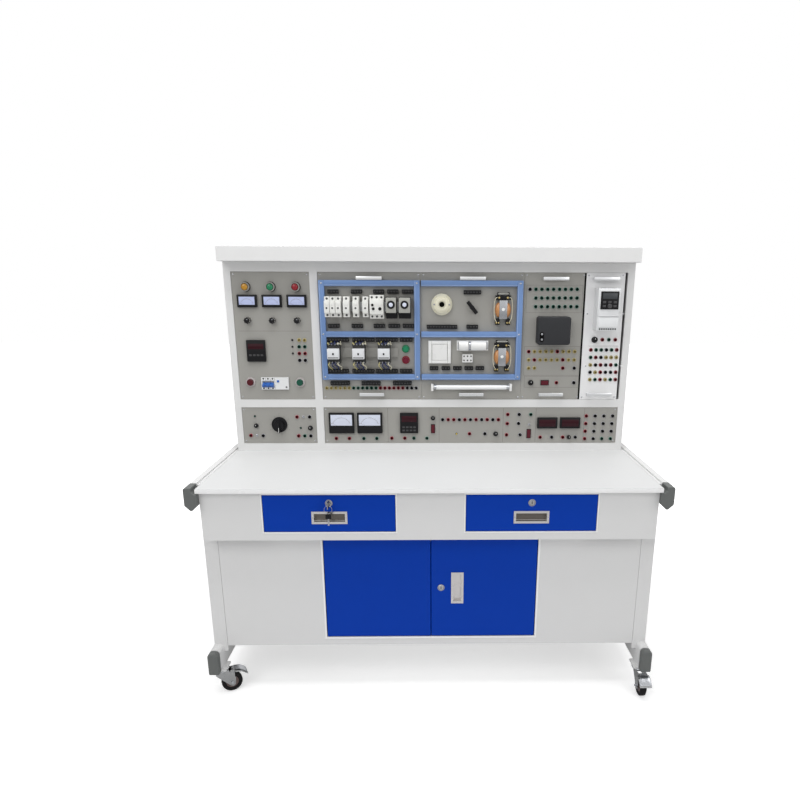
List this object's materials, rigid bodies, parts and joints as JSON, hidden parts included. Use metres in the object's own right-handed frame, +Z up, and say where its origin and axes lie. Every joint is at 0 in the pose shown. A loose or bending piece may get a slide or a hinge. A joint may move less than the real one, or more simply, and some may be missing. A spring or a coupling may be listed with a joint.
{
  "type": "electrician training workbench",
  "caption": "Wheeled steel workbench with drawers and a cupboard below, and an upright cabinet of control panels and removable device boards on its rear half",
  "frame": {"origin": "on the floor under the middle of the whole outline, brake pedals and rear wheels included", "axes": "+X to the right of someone who faces the drawers, +Y to the rear, +Z up"},
  "size_m": [1.624, 0.8124, 1.5755],
  "materials": {
    "white_steel": "white powder coat",
    "white_laminate": "white laminate",
    "blue_steel": "blue powder coat",
    "blue_profile": "blue coated profile",
    "grey_panel": "grey satin",
    "cap_plastic": "dark grey",
    "chrome": "polished",
    "zinc": "zinc plated",
    "tyre_rubber": "black tread",
    "black_plastic": "black moulded",
    "white_plastic": "white and cream moulded",
    "cream_plastic": "cream moulded",
    "red_plastic": "red moulded",
    "green_plastic": "green moulded",
    "orange_winding": "varnished winding"
  },
  "bodies": {
    "bench": {"side_frame_left": "white_steel", "side_frame_right": "white_steel", "rail_cap_left": "cap_plastic", "rail_cap_right": "cap_plastic", "foot_cap_left": "cap_plastic", "foot_cap_right": "cap_plastic", "desktop": "white_laminate", "drawer_housing": "white_steel", "base_cabinet": "white_steel", "cabinet_frame": "white_steel", "rear_cover": "white_steel", "canopy": "white_steel", "control_panel": "grey_panel", "lower_left_panel": "grey_panel", "lower_strip": "grey_panel", "board_a": "grey_panel", "board_b": "grey_panel", "board_c": "grey_panel", "drive_board": "white_laminate", "blue_frame_left": "blue_profile", "blue_frame_right": "blue_profile", "breaker": "white_plastic", "device_row": "white_plastic", "contactor_left": "cream_plastic", "contactor_middle": "cream_plastic", "contactor_right": "cream_plastic", "lamp_holder": "cream_plastic", "tube_lamp": "white_plastic", "coil_unit_upper": "orange_winding", "coil_unit_lower": "orange_winding", "logic_controller": "black_plastic", "motor_drive": "white_plastic"},
    "drawer_left": {"drawer_left": "blue_steel", "drawer_handle_left": "chrome"},
    "drawer_right": {"drawer_right": "blue_steel", "drawer_handle_right": "chrome"},
    "drawer_lock_left": {"drawer_lock_left": "chrome"},
    "drawer_lock_right": {"drawer_lock_right": "chrome"},
    "door_left": {"door_left": "blue_steel"},
    "door_right": {"door_right": "blue_steel", "door_handle": "chrome"},
    "door_lock": {"door_lock": "chrome"},
    "caster_fork_front_left": {"caster_fork_front_left": "zinc"},
    "caster_fork_front_right": {"caster_fork_front_right": "zinc"},
    "caster_fork_rear_left": {"caster_fork_rear_left": "zinc"},
    "caster_fork_rear_right": {"caster_fork_rear_right": "zinc"},
    "caster_wheel_front_left": {"caster_wheel_front_left": "tyre_rubber"},
    "caster_wheel_front_right": {"caster_wheel_front_right": "tyre_rubber"},
    "caster_wheel_rear_left": {"caster_wheel_rear_left": "tyre_rubber"},
    "caster_wheel_rear_right": {"caster_wheel_rear_right": "tyre_rubber"},
    "brake_pedal_front_left": {"brake_pedal_front_left": "zinc"},
    "brake_pedal_front_right": {"brake_pedal_front_right": "zinc"},
    "stop_button": {"stop_button": "red_plastic"},
    "start_button": {"start_button": "green_plastic"},
    "module_start_button": {"module_start_button": "green_plastic"},
    "module_stop_button": {"module_stop_button": "red_plastic"},
    "breaker_toggle": {"breaker_toggle": "blue_steel"},
    "rotary_knob": {"rotary_knob": "black_plastic"},
    "lever_switch": {"lever_switch": "black_plastic"},
    "wall_switch_rocker": {"wall_switch_rocker": "white_plastic"}
  },
  "joints": [
    {"name": "drawer_left_slide", "type": "slide", "parent": "bench", "child": "drawer_left", "axis": [0, -1, 0], "range_m": [0, 0.35]},
    {"name": "drawer_right_slide", "type": "slide", "parent": "bench", "child": "drawer_right", "axis": [0, -1, 0], "range_m": [0, 0.35]},
    {"name": "drawer_lock_left_turn", "type": "hinge", "parent": "drawer_left", "child": "drawer_lock_left", "pos_m": [-0.34, -0.35225, 0.7455], "axis": [0, 1, 0], "range_deg": [0, 90]},
    {"name": "drawer_lock_right_turn", "type": "hinge", "parent": "drawer_right", "child": "drawer_lock_right", "pos_m": [0.34, -0.35225, 0.7455], "axis": [0, 1, 0], "range_deg": [0, 90]},
    {"name": "door_left_hinge", "type": "hinge", "parent": "bench", "child": "door_left", "pos_m": [-0.3685, -0.29545, 0.218], "axis": [0, 0, -1], "range_deg": [0, 110]},
    {"name": "door_right_hinge", "type": "hinge", "parent": "bench", "child": "door_right", "pos_m": [0.3685, -0.29545, 0.218], "axis": [0, 0, 1], "range_deg": [0, 110]},
    {"name": "door_lock_turn", "type": "hinge", "parent": "door_right", "child": "door_lock", "pos_m": [0.036, -0.30025, 0.4105], "axis": [0, 1, 0], "range_deg": [0, 90]},
    {"name": "swivel_front_left", "type": "hinge", "parent": "bench", "child": "caster_fork_front_left", "pos_m": [-0.77, -0.31325, 0.0947], "axis": [0, 0, 1], "continuous": true},
    {"name": "swivel_front_right", "type": "hinge", "parent": "bench", "child": "caster_fork_front_right", "pos_m": [0.77, -0.31325, 0.0947], "axis": [0, 0, 1], "continuous": true},
    {"name": "swivel_rear_left", "type": "hinge", "parent": "bench", "child": "caster_fork_rear_left", "pos_m": [-0.77, 0.33275, 0.0947], "axis": [0, 0, 1], "continuous": true},
    {"name": "swivel_rear_right", "type": "hinge", "parent": "bench", "child": "caster_fork_rear_right", "pos_m": [0.77, 0.33275, 0.0947], "axis": [0, 0, 1], "continuous": true},
    {"name": "roll_front_left", "type": "hinge", "parent": "caster_fork_front_left", "child": "caster_wheel_front_left", "pos_m": [-0.73737, -0.29804, 0.0375], "axis": [-0.4226, 0.9063, 0], "continuous": true},
    {"name": "roll_front_right", "type": "hinge", "parent": "caster_fork_front_right", "child": "caster_wheel_front_right", "pos_m": [0.77, -0.34925, 0.0375], "axis": [1, 0, 0], "continuous": true},
    {"name": "roll_rear_left", "type": "hinge", "parent": "caster_fork_rear_left", "child": "caster_wheel_rear_left", "pos_m": [-0.77, 0.36875, 0.0375], "axis": [-1, 0, 0], "continuous": true},
    {"name": "roll_rear_right", "type": "hinge", "parent": "caster_fork_rear_right", "child": "caster_wheel_rear_right", "pos_m": [0.77, 0.36875, 0.0375], "axis": [-1, 0, 0], "continuous": true},
    {"name": "brake_front_left", "type": "hinge", "parent": "caster_fork_front_left", "child": "brake_pedal_front_left", "pos_m": [-0.73284, -0.29592, 0.084], "axis": [-0.4226, 0.9063, 0], "range_deg": [0, 12]},
    {"name": "brake_front_right", "type": "hinge", "parent": "caster_fork_front_right", "child": "brake_pedal_front_right", "pos_m": [0.77, -0.35425, 0.084], "axis": [1, 0, 0], "range_deg": [0, 12]},
    {"name": "stop_button_push", "type": "slide", "parent": "bench", "child": "stop_button", "axis": [0, 1, 0], "range_m": [0, 0.003], "stiffness_N_per_m": 300},
    {"name": "start_button_push", "type": "slide", "parent": "bench", "child": "start_button", "axis": [0, 1, 0], "range_m": [0, 0.003], "stiffness_N_per_m": 300},
    {"name": "module_start_button_push", "type": "slide", "parent": "bench", "child": "module_start_button", "axis": [0, 1, 0], "range_m": [0, 0.003], "stiffness_N_per_m": 300},
    {"name": "module_stop_button_push", "type": "slide", "parent": "bench", "child": "module_stop_button", "axis": [0, 1, 0], "range_m": [0, 0.003], "stiffness_N_per_m": 300},
    {"name": "breaker_toggle_throw", "type": "hinge", "parent": "bench", "child": "breaker_toggle", "pos_m": [-0.63404, 0.15975, 1.07067], "axis": [-1, 0, 0], "range_deg": [0, 60]},
    {"name": "rotary_knob_turn", "type": "hinge", "parent": "bench", "child": "rotary_knob", "pos_m": [-0.60257, 0.16275, 0.90564], "axis": [0, 1, 0], "range_deg": [-90, 90]},
    {"name": "lever_switch_turn", "type": "hinge", "parent": "bench", "child": "lever_switch", "pos_m": [0.1588, 0.14875, 1.36018], "axis": [0, 1, 0], "range_deg": [-45, 45]},
    {"name": "wall_switch_rock", "type": "hinge", "parent": "bench", "child": "wall_switch_rocker", "pos_m": [0.03577, 0.15575, 1.19214], "axis": [-1, 0, 0], "range_deg": [0, 8]}
  ]
}
